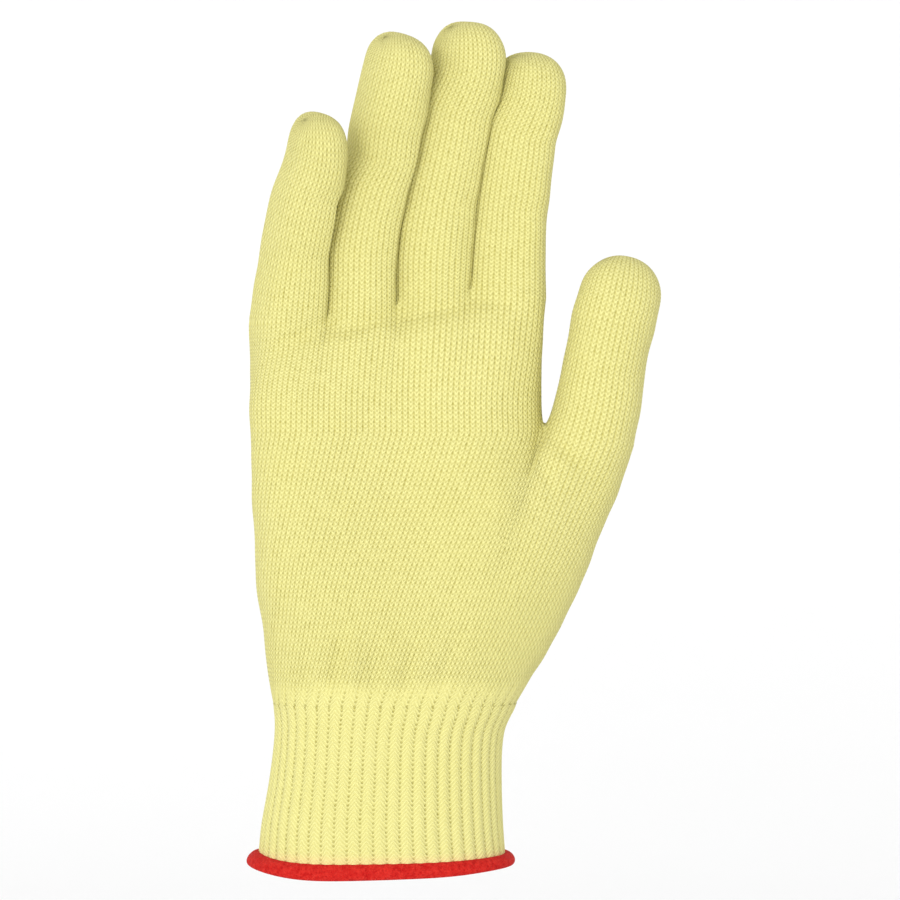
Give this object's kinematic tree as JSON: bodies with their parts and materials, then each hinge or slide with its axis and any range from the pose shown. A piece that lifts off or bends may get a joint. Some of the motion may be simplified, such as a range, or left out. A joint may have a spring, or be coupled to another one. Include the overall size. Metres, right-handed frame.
{
  "type": "knitted aramid work glove",
  "caption": "Seamless knitted aramid glove for the right hand, hollow, with a ribbed elastic cuff and a red overlocked hem, in its worn form.",
  "frame": {"origin": "centre of the cuff opening, level with the lower edge of the hem", "axes": "+Z from the cuff to the fingertips, -Y out of the palm, +X to the thumb"},
  "size_m": [0.1075, 0.0498, 0.2219],
  "materials": {
    "aramid_knit": "matt plain knit of fine yellow aramid yarn",
    "rib_knit": "matt mock rib of the same yarn over elastic",
    "red_overlock": "matt, slightly fuzzy red overlock thread"
  },
  "bodies": {
    "root": {"hand_knit": "aramid_knit", "little_knit": "aramid_knit", "ring_knit": "aramid_knit", "middle_knit": "aramid_knit", "index_knit": "aramid_knit", "thumb_knit": "aramid_knit", "wrist_knit": "rib_knit", "hem_overlock": "red_overlock"}
  },
  "joints": []
}
